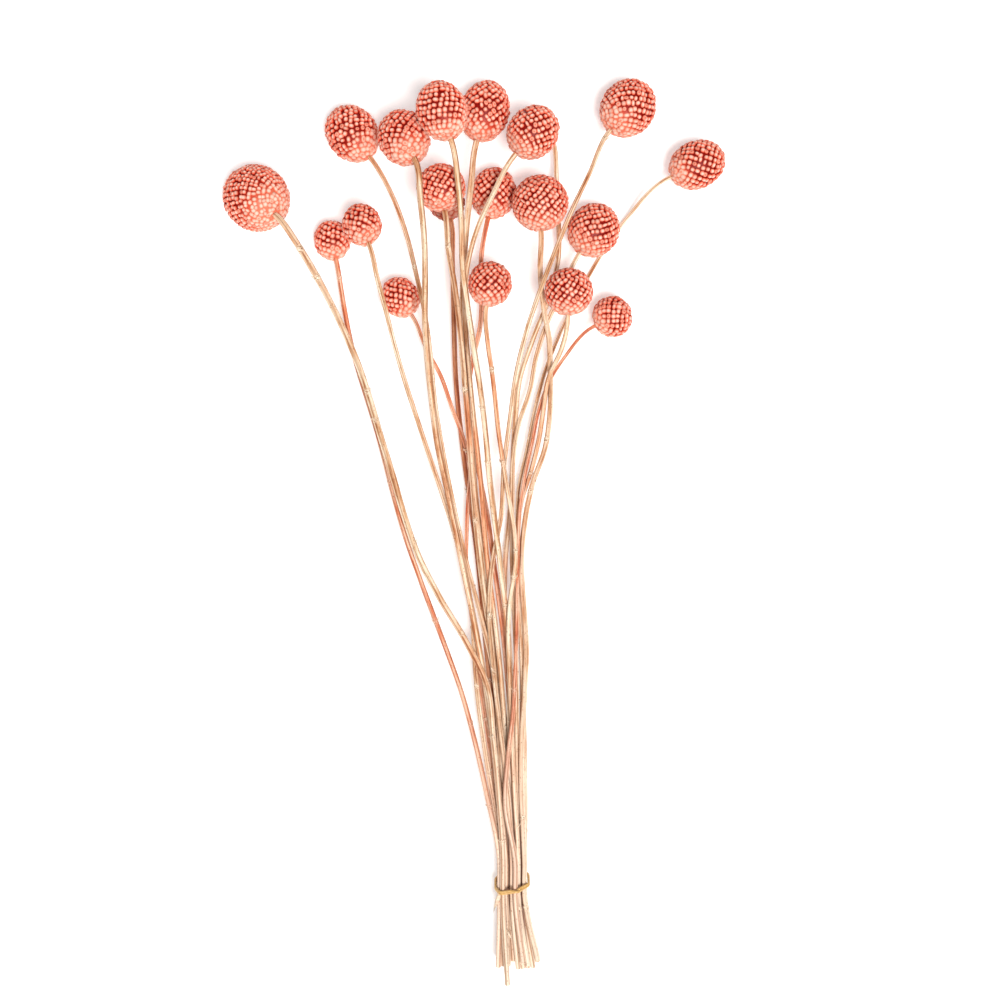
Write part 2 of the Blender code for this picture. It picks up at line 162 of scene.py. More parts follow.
# The dry scales at the knots and the peeled slivers, each a thin bowed blade.
SCALES_AT_STRONG = (1, 4)  # fewest, and one more than the most
SCALE_LENGTH = (1.4, 3.2)  # millimetres, as the width
SCALE_WIDTH = (0.7, 1.3)
SCALE_LEAN = (0.15, 0.55)  # radians
SCALE_THICK = 0.18 * MM
SCALE_ROOT = 0.98         # of the radius
PEEL_ROOT = 0.9
SCALE_BOW = 3             # times half its thickness
SCALE_BENDS_AT = 0.45
SCALE_BASE = 0.8          # of its width
SCALE_CREAM = 0.55

# The tones along a stalk. Where others face it closer than the reach, it is darker: painted shade
# between the stems.
FIBRE_SCALE = 1.4 * MM
FIBRE_SHIFT = (3.7, 1.3)  # from one stalk to the next, so that no two share their streaks
DYE_POINTS = 9
DYE_RANGE = (-0.1, 0.35)
CREAM_AT_CUT = 0.72
CREAM_FADES = (-0.19, -0.06)  # along Y
CROWD_REACH = 1.4 * MM
CROWD_SHOWS = (0.30, 0.85)

# Knots that show in the bunch: their distance along Y in millimetres, by stem.
KNOTS_SEEN = {
    1: (151.6, 136.2, 75.4, 60.3), 2: (137.9,), 4: (143.2,), 6: (66.4, 37.4, -40.0),
    9: (212.2, 35.4, -46.0), 10: (94.7,), 11: (152.7, 76.1, 6.3), 12: (22.5,),
    14: (49.9, 21.6, -155.4), 16: (43.8,), 17: (87.1, 36.5, -10.0, -25.0), 18: (31.8,),
    19: (-86.1,), 20: (55.4,),
}

# Parts of the stems that took up more of the coral dye: the stretch of Y in millimetres and how
# strong, by stem.
DYE_SEEN = {
    1: ((-75.0, -40.0, 0.4),), 6: ((-55.0, -40.0, 0.6),), 8: ((-35.0, 50.0, 1.0),),
    11: ((50.0, 68.0, 0.9), (-150.0, -110.0, 0.7)), 17: ((42.0, 100.0, 0.7),),
    18: ((20.0, 75.0, 0.45),), 20: ((-60.0, -20.0, 0.6),),
}
DYE_FADE = 12.0 * MM

# Peeled slivers: the stem, where along Y they start, their run to the tip and their width, in
# millimetres.
PEELS = (
    (1, -196.5, (-3.8, -11.6, 0.4), 2.3),
    (1, -218.0, (3.2, -5.6, 0.6), 1.1),
    (2, -221.0, (3.2, -1.2, 1.2), 0.9),
)

# The rubber band: one strand wound twice round the stems, crossing itself at the front.
STRAND_RADIUS = 0.68 * MM
STRAND_SPACING = 1.16 * MM
STRAND_SIDES = 10
STRAND_STEPS = 150
BAND_ANGLES = 720
BAND_SNUG = 0.05 * MM
BAND_TILT_SHARE = 0.62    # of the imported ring's tilt, which shows too much of its sides
CROSSING_AT = 72.0        # degrees round the band, as the next
CROSSING_SPREAD = 26.0

# The finishes. Each ramp is a row of values with their colours. A grain is a noise's scale and
# detail, and a bump its strength and distance.
WHITE = (1.0, 1.0, 1.0)
BLACK = (0.0, 0.0, 0.0)
GREYS = ((0.0, BLACK), (1.0, WHITE))

# The florets' colours from root to tip, far from the stem and by it, and then their tones. The
# dark red towards the root is partly painted shade in the gaps, the pale tip partly a painted
# highlight, and the paler ramp by the stem mostly painted light filling the gaps there.
FLORET_TIP = (0.95, 0.69, 0.58)
FLORET_BODY = ((0.0, (0.24, 0.003, 0.001)), (0.40, (0.52, 0.014, 0.005)),
               (0.60, (0.74, 0.068, 0.028)), (0.74, (0.81, 0.155, 0.085)),
               (0.90, (0.86, 0.290, 0.195)), (1.0, FLORET_TIP))
# Paler by the stem: mostly painted light, as if light filled the gaps between the florets there.
FLORET_BY_STEM = ((0.0, (0.58, 0.050, 0.020)), (0.45, (0.76, 0.160, 0.085)),
                  (0.70, (0.84, 0.260, 0.160)), (0.88, (0.89, 0.39, 0.275)),
                  (1.0, FLORET_TIP))
FLORET_TONES = ((0.0, (0.42, 0.26, 0.22)), (0.35, (0.74, 0.60, 0.56)),
                (0.70, (0.96, 0.93, 0.92)), (1.0, WHITE))
FLORET_GRAIN = (2200.0, 2.0)
FLORET_SPECKS = ((0.30, (0.86, 0.76, 0.74)), (0.58, WHITE))
SPECKS_SHARE = 0.7
FLORET_BUMP = (0.30, 0.0002)
FLORET_GLOSS = (0.42, 0.18)

# The stalks' patterns: how each is stretched across and along the fibres, then the noise's scale,
# detail and roughness.
STREAKS = ((1.0, 1.0, 0.030), 2.1, 4.0, 0.6)
PATCHES = ((0.30, 0.30, 0.07), 1.1, 3.0, 0.6)
FLECKS = ((1.0, 1.0, 0.45), 2.6, 2.0, 0.5)
KNOT_BITS = ((1.0, 1.0, 1.6), 2.0, 2.0, 0.5)
PATCH_SHARE = 0.42
STEM_TONES = {
    "tan_stem": ((0.46, 0.175, 0.060), (0.73, 0.460, 0.260), (0.92, 0.790, 0.610)),
    "salmon_stem": ((0.52, 0.100, 0.036), (0.76, 0.270, 0.130), (0.92, 0.590, 0.430)),
    "brown_stem": ((0.26, 0.060, 0.020), (0.46, 0.150, 0.062), (0.68, 0.340, 0.190)),
}
TONES_AT = (0.39, 0.47, 0.56)
# Painted shade in the grooves between the ridges.
GROOVE_SHADE = ((0.0, WHITE), (1.0, (0.50, 0.34, 0.25)))
FLECK_TONES = ((0.63, WHITE), (0.71, (0.42, 0.24, 0.15)))
KNOT_DARK = (0.20, 0.085, 0.040)
KNOT_PALE = (0.88, 0.770, 0.620)
KNOT_TONES_AT = (0.40, 0.48, 0.56)
CREAM = (0.93, 0.800, 0.650)
DYED = (1.0, 0.64, 0.50)
# Painted shade where other stems lie close.
SHADE_BETWEEN_STEMS = (0.20, 0.060, 0.025)
STEM_BUMP = (0.55, 0.0004)
STEM_GLOSS = (0.50, 0.35)

RUBBER_GRAIN = (700.0, 3.0)
RUBBER_TONES = ((0.3, (0.50, 0.27, 0.070)), (0.7, (0.74, 0.46, 0.17)))
RUBBER_BUMP = (0.15, 0.0002)
RUBBER_GLOSS = (0.36, 0.5)


def stem_name(number):
    """Name of a stem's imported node."""
    return f"stem_{number:02d}"


def head_name(number):
    """Name of a head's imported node."""
    return f"head_{number:02d}"


FLOWERS = range(1, 1 + sum(node.startswith("head_") for node in frame["nodes"]))
SLOTS = {part["node"]: part["material_slot"] for part in frame["record"]["subparts"]}


def packed_corners(node):
    """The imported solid's own corners, each once, and the pairs that an edge joins."""
    mesh = frame["nodes"][node].data
    points = np.empty(3 * len(mesh.vertices))
    mesh.vertices.foreach_get("co", points)
    ends = np.empty(2 * len(mesh.edges), dtype=np.int64)
    mesh.edges.foreach_get("vertices", ends)
    points = points.reshape(-1, 3).round(PACKED_DIGITS)
    corners, index = np.unique(points, axis=0, return_inverse=True)
    return corners, index.ravel()[ends].reshape(-1, 2)


def unit(vectors):
    """Vectors scaled to length one."""
    return vectors / np.linalg.norm(vectors, axis=-1, keepdims=True)


def smooth_step(value, low, high):
    """A soft step from 0 at low to 1 at high."""
    share = np.clip((value - low) / (high - low), 0.0, 1.0)
    return share * share * (3 - 2 * share)


def packed_rings(number):
    """Middle and radius of each ring of corners along a packed stem, from its cut end."""
    corners, edges = packed_corners(stem_name(number))
    ring = np.argsort(corners[:, 1])[:PACKED_STEM_SIDES]
    passed = np.zeros(len(corners), dtype=bool)
    middles = []
    radii = []
    while len(ring):
        passed[ring] = True
        middles.append(corners[ring].mean(axis=0))
        radii.append(np.linalg.norm(corners[ring] - middles[-1], axis=1).mean())
        joined = edges[passed[edges].any(axis=1)]
        ring = np.unique(joined[~passed[joined]])
    return np.array(middles), np.array(radii)


STEM_RINGS = {number: packed_rings(number) for number in FLOWERS}


def crowding(number, points):
    """How closely other stems face each point on a stem, from 0 up to 1, which sets the painted
    shade between stems.
    """
    close = np.zeros(len(points))
    for other, (middles, radii) in STEM_RINGS.items():
        if other == number:
            continue
        x, z, radius = [np.interp(points[:, 1], middles[:, 1], values)
                        for values in (middles[:, 0], middles[:, 2], radii)]
        gap = np.hypot(points[:, 0] - x, points[:, 2] - z) - radius
        beside = (points[:, 1] > middles[0, 1]) & (points[:, 1] < middles[-1, 1])
        close += beside * (1 - smooth_step(gap, 0.0, CROWD_REACH))
    return smooth_step(close, *CROWD_SHOWS)


def new_mesh_object(name, points, face_sets, values, material):
    """An object of the given points and faces, with a named vector at each point."""
    mesh = bpy.data.meshes.new(name)
    corners = np.concatenate([faces.ravel() for faces in face_sets]).astype(np.int32)
    sizes = np.concatenate([np.full(len(faces), faces.shape[1]) for faces in face_sets])
    starts = np.concatenate(([0], np.cumsum(sizes)[:-1])).astype(np.int32)
    mesh.vertices.add(len(points))
    mesh.vertices.foreach_set("co", np.asarray(points, dtype=np.float32).ravel())
    mesh.loops.add(len(corners))
    mesh.loops.foreach_set("vertex_index", corners)
    mesh.polygons.add(len(sizes))
    mesh.polygons.foreach_set("loop_start", starts)
    for key, numbers in values.items():
        layer = mesh.attributes.new(key, "FLOAT_VECTOR", "POINT")
        layer.data.foreach_set("vector", np.asarray(numbers, dtype=np.float32).ravel())
    mesh.update(calc_edges=True)
    mesh.validate()
    mesh.shade_smooth()
    mesh.materials.append(material)
    piece = bpy.data.objects.new(name, mesh)
    bpy.context.scene.collection.objects.link(piece)
    return piece


def place(piece, node):
    """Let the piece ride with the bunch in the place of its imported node."""
    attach(piece, "root")
    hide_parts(node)


class Tree:
    """A material's node tree, with short ways to add what the finishes here use."""

    def __init__(self, name):
        self.material = bpy.data.materials.new(name)
        self.material.use_nodes = True
        self.nodes = self.material.node_tree.nodes
        self.links = self.material.node_tree.links
        self.shader = self.nodes["Principled BSDF"]

    def add(self, kind, **settings):
        """A new node with the given settings."""
        node = self.nodes.new(kind)
        for key, value in settings.items():
            setattr(node, key, value)
        return node

    def attribute(self, name):
        """The vector that the mesh keeps under the name."""
        return self.add("ShaderNodeAttribute", attribute_name=name).outputs["Vector"]

    def part(self, vector, axis):
        """One of a vector's three numbers."""
        node = self.add("ShaderNodeSeparateXYZ")
        self.links.new(vector, node.inputs[0])
        return node.outputs[axis]

    def noise(self, vector, scale, detail, roughness=0.55):
        """A noise at the vector."""
        node = self.add("ShaderNodeTexNoise")
        node.inputs["Scale"].default_value = scale
        node.inputs["Detail"].default_value = detail
        node.inputs["Roughness"].default_value = roughness
        self.links.new(vector, node.inputs["Vector"])
        return node.outputs["Fac"]

    def grain(self, scale, detail):
        """A noise that is fixed to the piece."""
        where = self.add("ShaderNodeTexCoord").outputs["Object"]
        return self.noise(where, scale, detail)

    def pattern(self, vector, stretch, *noise):
        """A noise at the vector, stretched."""
        node = self.add("ShaderNodeMapping")
        node.inputs["Scale"].default_value = stretch
        self.links.new(vector, node.inputs["Vector"])
        return self.noise(node.outputs["Vector"], *noise)

    def ramp(self, value, stops):
        """The colour that the stops give the value."""
        node = self.add("ShaderNodeValToRGB")
        ramp = node.color_ramp
        while len(ramp.elements) < len(stops):
            ramp.elements.new(0.5)
        for element, (position, colour) in zip(ramp.elements, stops):
            element.position = position
            element.color = (*colour, 1.0)
        self.links.new(value, node.inputs["Fac"])
        return node.outputs["Color"]

    def mix(self, share, first, second, blend="MIX"):
        """Two colours mixed. The share is a number or an output, each colour a tuple or one."""
        node = self.add("ShaderNodeMix", data_type="RGBA", blend_type=blend)
        sockets = [socket for socket in node.inputs if socket.enabled]
        for socket, value in zip(sockets, (share, first, second)):
            if isinstance(value, float):
                socket.default_value = value
            elif isinstance(value, tuple):
                socket.default_value = (*value, 1.0)
            else:
                self.links.new(value, socket)
        return next(socket for socket in node.outputs if socket.enabled)

    def finish(self, colour, height, bump, gloss):
        """Give the shader its colour, its fine relief and its gloss."""
        self.links.new(colour, self.shader.inputs["Base Color"])
        node = self.add("ShaderNodeBump")
        node.inputs["Strength"].default_value, node.inputs["Distance"].default_value = bump
        self.links.new(height, node.inputs["Height"])
        self.links.new(node.outputs["Normal"], self.shader.inputs["Normal"])
        self.gloss(*gloss)

    def gloss(self, roughness, specular):
        """Set how rough and how shiny the shader is."""
        self.shader.inputs["Roughness"].default_value = roughness
        self.shader.inputs["Specular IOR Level"].default_value = specular


def floret_material():
    """Coral florets: dark red where they are rooted, partly painted shade, pale pink at the tip,
    partly a painted highlight, and paler by the stem, mostly painted light.
    """
    tree = Tree("coral_florets")
    # The place between root and tip, the floret's own tone, and how near the stem it is.
    made = tree.attribute("floret")
    height = tree.part(made, "X")
    # Darker towards the root, partly painted shade in the gaps, and pale at the tip, partly a
    # painted highlight.
    body = tree.ramp(height, FLORET_BODY)
    pale = tree.ramp(height, FLORET_BY_STEM)
    # Paler by the stem: mostly painted light.
    colour = tree.mix(tree.part(made, "Z"), body, pale)
    tone = tree.ramp(tree.part(made, "Y"), FLORET_TONES)
    colour = tree.mix(1.0, colour, tone, "MULTIPLY")
    grain = tree.grain(*FLORET_GRAIN)
    specks = tree.ramp(grain, FLORET_SPECKS)
    colour = tree.mix(SPECKS_SHARE, colour, specks, "MULTIPLY")
    tree.finish(colour, grain, FLORET_BUMP, FLORET_GLOSS)
    return tree.material


def stem_material(slot):
    """Dry stem: streaks along it in three tones, painted shade in the grooves and where other
    stems lie close, and pale, specked knots.
    """
    tree = Tree(slot)
    fibre = tree.attribute("fibre")
    # A mark is how much of a knot, of the painted shade in a groove and of cream is at a point,
    # and the last vector how much dye and how closely other stems face it, for the painted shade
    # between them.
    mark = tree.attribute("mark")
    dye_and_shade = tree.attribute("dye_and_shade")
    streak = tree.pattern(fibre, *STREAKS)
    patch = tree.pattern(fibre, *PATCHES)
    both = tree.mix(PATCH_SHARE, tree.ramp(streak, GREYS), tree.ramp(patch, GREYS))
    colour = tree.ramp(both, tuple(zip(TONES_AT, STEM_TONES[slot])))
    colour = tree.mix(tree.part(mark, "Z"), colour, CREAM)
    colour = tree.mix(tree.part(dye_and_shade, "X"), colour, DYED, "MULTIPLY")
    # Painted shade in the grooves.
    grooves = tree.ramp(tree.part(mark, "Y"), GROOVE_SHADE)
    colour = tree.mix(1.0, colour, grooves, "MULTIPLY")
    flecks = tree.ramp(tree.pattern(fibre, *FLECKS), FLECK_TONES)
    colour = tree.mix(1.0, colour, flecks, "MULTIPLY")
    knot_tones = (KNOT_DARK, STEM_TONES[slot][1], KNOT_PALE)
    knot = tree.ramp(tree.pattern(fibre, *KNOT_BITS), tuple(zip(KNOT_TONES_AT, knot_tones)))
    colour = tree.mix(tree.part(mark, "X"), colour, knot)
    # Painted shade where other stems lie close.
    colour = tree.mix(tree.part(dye_and_shade, "Y"), colour, SHADE_BETWEEN_STEMS, "MULTIPLY")
    tree.finish(colour, streak, STEM_BUMP, STEM_GLOSS)
    return tree.material


def rubber_material():
    """Ochre rubber, slightly mottled."""
    tree = Tree("rubber")
    grain = tree.grain(*RUBBER_GRAIN)
    tree.finish(tree.ramp(grain, RUBBER_TONES), grain, RUBBER_BUMP, RUBBER_GLOSS)
    return tree.material


class Head:
    """A head's place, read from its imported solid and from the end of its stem."""

    def __init__(self, number):
        middles, radii = STEM_RINGS[number]
        self.neck = middles[-1]
        self.neck_radius = radii[-1]
        self.axis = unit(middles[-1] - middles[-2])
        points = packed_corners(head_name(number))[0]
        reach = (points - self.neck) @ self.axis
        across = points - self.neck - reach[:, None] * self.axis
        rows = LARGEST_HEAD_ROWS if number == LARGEST_HEAD else PACKED_ROWS
        # From the neck to the tip are the gap, the way from the sunk corners that face the stem to
        # the centre, and the way from the centre to the tip.
        shrink = 1 / math.sqrt(1 + 2 * (math.tan(math.radians(45) / rows)) ** 2)
        packed_along = (reach.max() - SEAT_GAP + PACKED_RELIEF * shrink) / (1 + shrink)
        self.centre = self.neck + self.axis * ((packed_along - PACKED_RELIEF) * shrink + SEAT_GAP)
        self.along = packed_along - PACKED_PROUD
        self.across = np.linalg.norm(across, axis=1).max() - PACKED_PROUD
        self.size = np.array([self.across, self.across, self.along])
        self.lowest = points[:, 2].min()
        self.side = unit(np.cross(self.axis, (0.0, 0.0, 1.0)))
        self.up = np.cross(self.side, self.axis)

    def world(self, local):
        """Points of the frame whose third axis runs from the stem through the head's tip."""
        return (self.centre + local[:, :1] * self.side + local[:, 1:2] * self.up
                + local[:, 2:] * self.axis)


def near_stem(height):
    """How far a direction is towards the stem, from its part along the head's axis."""
    return 1 - smooth_step(height, *STEM_SIDE)


def spiral_directions(count, uneven, draw):
    """Directions spread over a ball along the spiral that florets grow in, a little uneven."""
    place_in_spiral = np.arange(count) + 0.5
    height = 1 - 2 * place_in_spiral / count
    turn = math.pi * (3 - math.sqrt(5)) * place_in_spiral
    level = np.sqrt(1 - height ** 2)
    directions = np.stack([level * np.cos(turn), level * np.sin(turn), height], axis=1)
    spacing = math.sqrt(4 * math.pi / count)
    directions += draw.normal(0.0, uneven * spacing, directions.shape)
    lean = draw.normal(0.0, SPIRAL_LEAN, 2)
    tilt = np.array([[1, 0, lean[0]], [0, 1, lean[1]], [-lean[0], -lean[1], 1]])
    return unit(directions @ tilt.T)


def nearest_offsets(directions):
    """For each direction, the step to its nearest neighbour, which its floret is squared up to."""
    closeness = directions @ directions.T
    np.fill_diagonal(closeness, -1.0)
    nearest = closeness.argmax(axis=1)
    return directions[nearest] - directions


def rounded_square(turn):
    """Distance from the middle of a square with round corners to its edge, at each angle."""
    power = FLORET_SQUARENESS
    return (np.abs(np.cos(turn)) ** power + np.abs(np.sin(turn)) ** power) ** (-1 / power)


def floret_faces(count, each):
    """Faces of all the florets: walls between the rings, a domed tip and a closed foot."""
    here = np.arange(FLORET_SIDES)
    after = (here + 1) % FLORET_SIDES
    levels = len(RINGS_OF_A_FLORET)
    walls = np.concatenate([
        np.stack([here + r * FLORET_SIDES, after + r * FLORET_SIDES,
                  after + (r + 1) * FLORET_SIDES, here + (r + 1) * FLORET_SIDES], axis=1)
        for r in range(levels - 1)])
    top_ring = (levels - 1) * FLORET_SIDES
    tip = np.full(FLORET_SIDES, levels * FLORET_SIDES)
    caps = np.concatenate([np.stack([here + top_ring, after + top_ring, tip], axis=1),
                           np.stack([after, here, tip + 1], axis=1)])
    offsets = (np.arange(count) * each)[:, None, None]
    return (walls[None] + offsets).reshape(-1, 4), (caps[None] + offsets).reshape(-1, 3)


def head_piece(number, material):
    """One head: a core, and florets standing in it all over but where the stem enters."""
    draw = np.random.default_rng(SEED + number)
    head = Head(number)
    pitch = LARGEST_HEAD_PITCH if number == LARGEST_HEAD else FLORET_PITCH
    mean_radius = (head.across ** 2 * head.along) ** (1 / 3)
    count = round(4 * math.pi * mean_radius ** 2 / pitch ** 2)
    directions = spiral_directions(count, OLD_HEADS.get(number, FLORET_UNEVEN), draw)
    from_axis = np.linalg.norm((directions * head.size)[:, :2], axis=1)
    entry = head.neck_radius + ENTRY_MARGIN * pitch
    directions = directions[(directions[:, 2] > 0) | (from_axis > entry)]
    on_surface = directions * head.size
    count = len(directions)

    outward = unit(unit(directions / head.size) + draw.normal(0.0, FLORET_LEAN, (count, 3)))
    step = nearest_offsets(directions)
    first = unit(step - (step * outward).sum(axis=1, keepdims=True) * outward)
    second = np.cross(outward, first)
    by_stem = near_stem(directions[:, 2])
    widths = pitch * draw.normal(1.0, WIDTH_VARIES, count) * (1 + WIDER_BY_STEM * by_stem)
    squash = draw.normal(1.0, SQUASH_VARIES, count)
    tops = np.clip(draw.normal(-TIP_SUNK, TIP_VARIES, count), -TIP_LOWEST, 0.0)
    is_open = draw.uniform(0.0, 1.0, count) < OPEN_FLORETS
    # A head in another's shadow gets darker tones: painted shade.
    tones = SHADED_HEAD_TONES if number in SHADED_HEADS else USUAL_TONES
    tone = draw.uniform(*tones, count)

    angles = np.arange(FLORET_SIDES) * 2 * math.pi / FLORET_SIDES
    outline = rounded_square(angles)
    rings = []
    values = []
    for level, width, tint in RINGS_OF_A_FLORET:
        reach = tops - FLORET_DEPTH * (1 - level)
        wide = (width * widths)[:, None] * outline
        x = wide * np.cos(angles) * squash[:, None]
        y = wide * np.sin(angles) / squash[:, None]
        rings.append(on_surface[:, None] + outward[:, None] * reach[:, None, None]
                     + first[:, None] * x[:, :, None] + second[:, None] * y[:, :, None])
        values.append(np.stack([np.full(count, tint), tone, by_stem], axis=1)[:, None]
                      .repeat(FLORET_SIDES, axis=1))
    tip = on_surface + outward * (tops - OPEN_DEPTH * is_open)[:, None]
    foot = on_surface + outward * (tops - FLORET_DEPTH)[:, None]
    rings += [tip[:, None], foot[:, None]]
    # Hollow tips are darker: painted shade.
    tip_tint = np.where(is_open, OPEN_TIP_SHADE, 1.0)
    values.append(np.stack([tip_tint, tone, by_stem], axis=1)[:, None])
    values.append(np.stack([np.zeros(count), tone, by_stem], axis=1)[:, None])
    points = np.concatenate(rings, axis=1)
    walls, caps = floret_faces(count, points.shape[1])
    points = points.reshape(-1, 3)
    values = np.concatenate(values, axis=1).reshape(-1, 3)

    core, core_faces = ball(CORE_ROWS)
    core_by_stem = near_stem(core[:, 2])
    sunk = CORE_DEPTH + (CORE_DEPTH_BY_STEM - CORE_DEPTH) * core_by_stem
    inner = core * (head.size - sunk[:, None])
    # Painted paler by the stem, as if light filled the gaps.
    core_values = np.stack([CORE_TINT + CORE_TINT_BY_STEM * core_by_stem,
                            np.full(len(inner), tone.mean()), core_by_stem], axis=1)
    core_faces = core_faces + len(points)
    points = head.world(np.concatenate([points, inner]))
    values = np.concatenate([values, core_values])
    points[:, 2] = np.maximum(points[:, 2], head.lowest)
    piece = new_mesh_object(f"florets_{number:02d}", points, [walls, core_faces, caps],
                            {"floret": values}, material)
    place(piece, head_name(number))


def ball(rows):
    """Points and faces of a ball of radius one: a cube pushed round, with rows to a side."""
    mesh = bpy.data.meshes.new("ball")
    shape = bmesh.new()
    bmesh.ops.create_cube(shape, size=2.0)
    bmesh.ops.subdivide_edges(shape, edges=shape.edges[:], cuts=rows - 1, use_grid_fill=True)
    for vertex in shape.verts:
        vertex.co = Vector([math.tan(c * math.pi / 4) for c in vertex.co]).normalized()
    shape.to_mesh(mesh)
    shape.free()
    points = np.empty(3 * len(mesh.vertices))
    mesh.vertices.foreach_get("co", points)
    corners = np.empty(len(mesh.loops), dtype=np.int64)
    mesh.loops.foreach_get("vertex_index", corners)
    bpy.data.meshes.remove(mesh)
    return points.reshape(-1, 3), corners.reshape(-1, 4)


def smooth_line(route, at, lengths):
    """Points on the smooth curve through those of the route, at each distance along it."""
    slopes = np.gradient(route, at, axis=0)
    span = np.clip(np.searchsorted(at, lengths) - 1, 0, len(at) - 2)
    width = (at[span + 1] - at[span])[:, None]
    t = (lengths - at[span])[:, None] / width
    start, end = route[span], route[span + 1]
    return ((1 + 2 * t) * (1 - t) ** 2 * start + t * (1 - t) ** 2 * width * slopes[span]
            + t * t * (3 - 2 * t) * end + t * t * (t - 1) * width * slopes[span + 1])


def sliver(base, run, width, facing):
    """Points of a thin bowed scale from its base to its pointed tip, a closed solid."""
    side = unit(np.cross(run, facing)) * width / 2
    lift = unit(np.cross(side, run)) * SCALE_THICK / 2
    corners = np.array([side + lift, side - lift, -side - lift, -side + lift])
    middle = base + SCALE_BENDS_AT * run + SCALE_BOW * lift
    return np.vstack([base + SCALE_BASE * corners, middle + corners, base + run])


SLIVER_QUADS = np.array([[3, 2, 1, 0], [0, 1, 5, 4], [1, 2, 6, 5], [2, 3, 7, 6], [3, 0, 4, 7]])
SLIVER_TIPS = np.array([[4, 5, 8], [5, 6, 8], [6, 7, 8], [7, 4, 8]])


class Stem:
    """One stem: a ridged stalk with knots, dry scales and slivers, and a worn edge at its cut."""

    def __init__(self, number):
        self.number = number
        self.draw = np.random.default_rng(SEED + STEM_SEEDS + number)
        middles, radii = STEM_RINGS[number]
        into_head = middles[-1] + unit(middles[-1] - middles[-2]) * STEM_INTO_HEAD
        self.route = np.vstack([middles, into_head])
        radii = np.append(radii, radii[-1])
        chord = np.linalg.norm(np.diff(self.route, axis=0), axis=1)
        self.at = np.concatenate(([0.0], np.cumsum(chord)))
        self.total = self.at[-1]
        self.knots = self.place_knots()
        steps = np.linspace(-KNOT_REACH, KNOT_REACH, 2 * KNOT_SAMPLES + 1) * KNOT_LENGTH
        near = [spot + steps for spot, _ in self.knots]
        even = np.linspace(0.0, self.total, round(self.total / STEM_STEP))
        worn = np.array(WORN_RINGS) * CUT_ROUNDING
        lengths = np.sort(np.concatenate([even, worn] + near))
        lengths = lengths[(lengths >= 0.0) & (lengths <= self.total)]
        keep = np.append(True, np.diff(lengths) > CLOSEST_RINGS)
        keep[-1] = True
        self.lengths = lengths[keep]
        self.middles = smooth_line(self.route, self.at, self.lengths)
        self.radius = np.interp(self.lengths, self.at, radii)
        self.ahead = unit(np.gradient(self.middles, self.lengths, axis=0))
        self.side = unit(np.cross(self.ahead, (0.0, 0.0, 1.0)))
        self.up = np.cross(self.side, self.ahead)

    def length_at(self, y):
        """Distance along the stem to where it passes the given Y."""
        return np.interp(y, self.route[:, 1], self.at)

    def place_knots(self):
        """Where the knots are and how strong: the ones that show, and others lower down."""
        knots = []
        for y in KNOTS_SEEN.get(self.number, ()):
            knots.append((self.length_at(y * MM), self.draw.uniform(*SEEN_STRENGTH)))
        lowest = min([spot for spot, _ in knots], default=self.length_at(KNOTS_UP_TO * MM))
        spot = self.draw.uniform(*FIRST_KNOT) * MM
        while spot < lowest - KNOTS_APART * MM:
            knots.append((spot, self.draw.uniform(*OTHER_STRENGTH)))
            spot += self.draw.uniform(*KNOT_SPACING) * MM
        return knots

    def surface(self):
        """Points of the stalk in rings, and the colour values that go with them."""
        draw = self.draw
        count = len(self.lengths)
        angles = np.arange(STEM_SIDES) * 2 * math.pi / STEM_SIDES
        turned = angles[None] + np.zeros((count, 1))
        swell = np.zeros((count, STEM_SIDES))
        knot = np.zeros((count, STEM_SIDES))
        for spot, strength in self.knots:
            one_side = 0.5 + 0.5 * np.cos(turned - draw.uniform(0.0, 2 * math.pi))
            away = (self.lengths - spot)[:, None] / KNOT_LENGTH
            ring = np.exp(-away ** 2)
            crease = np.exp(-((away - CREASE_AT) / CREASE_WIDTH) ** 2)
            rise = ring * (0.5 + 0.5 * one_side) - CREASE_DEPTH * crease
            swell += strength * KNOT_HEIGHT * rise
            knot += strength * np.exp(-(away / KNOT_TONE_WIDTH) ** 2) * (0.5 + 0.5 * one_side)
        phases = draw.uniform(0.0, 2 * math.pi, len(RIDGES))
        twist = self.lengths[:, None] * draw.uniform(-LARGEST_TWIST, LARGEST_TWIST)
        ridges = sum(share * np.cos(times * turned + way * twist + phase)
                     for (times, share, way), phase in zip(RIDGES, phases))
        slow = np.interp(self.lengths, np.linspace(0.0, self.total, WAVER_POINTS),
                         draw.normal(0.0, STEM_WAVER, WAVER_POINTS))
        wide = self.radius[:, None] * (STEM_FILL + slow[:, None] + RIDGE_DEPTH * ridges + swell)
        worn = 1 - np.clip(self.lengths / CUT_ROUNDING, 0.0, 1.0)
        wide *= (1 - CUT_NARROWS * worn ** 2)[:, None]
        points = (self.middles[:, None] + self.side[:, None] * (wide * np.cos(turned))[:, :, None]
                  + self.up[:, None] * (wide * np.sin(turned))[:, :, None])
        along = np.repeat(self.lengths[:, None], STEM_SIDES, axis=1) / FIBRE_SCALE
        fibre = np.stack([np.cos(turned) + self.number * FIBRE_SHIFT[0],
                          np.sin(turned) + self.number * FIBRE_SHIFT[1], along], axis=2)
        dye = np.interp(self.lengths, np.linspace(0.0, self.total, DYE_POINTS),
                        draw.uniform(*DYE_RANGE, DYE_POINTS))
        for low, high, strength in DYE_SEEN.get(self.number, ()):
            rise = smooth_step(self.middles[:, 1], low * MM - DYE_FADE, low * MM)
            fall = smooth_step(self.middles[:, 1], high * MM, high * MM + DYE_FADE)
            dye += strength * (rise - fall)
        cream = CREAM_AT_CUT * (1 - smooth_step(self.middles[:, 1], *CREAM_FADES))
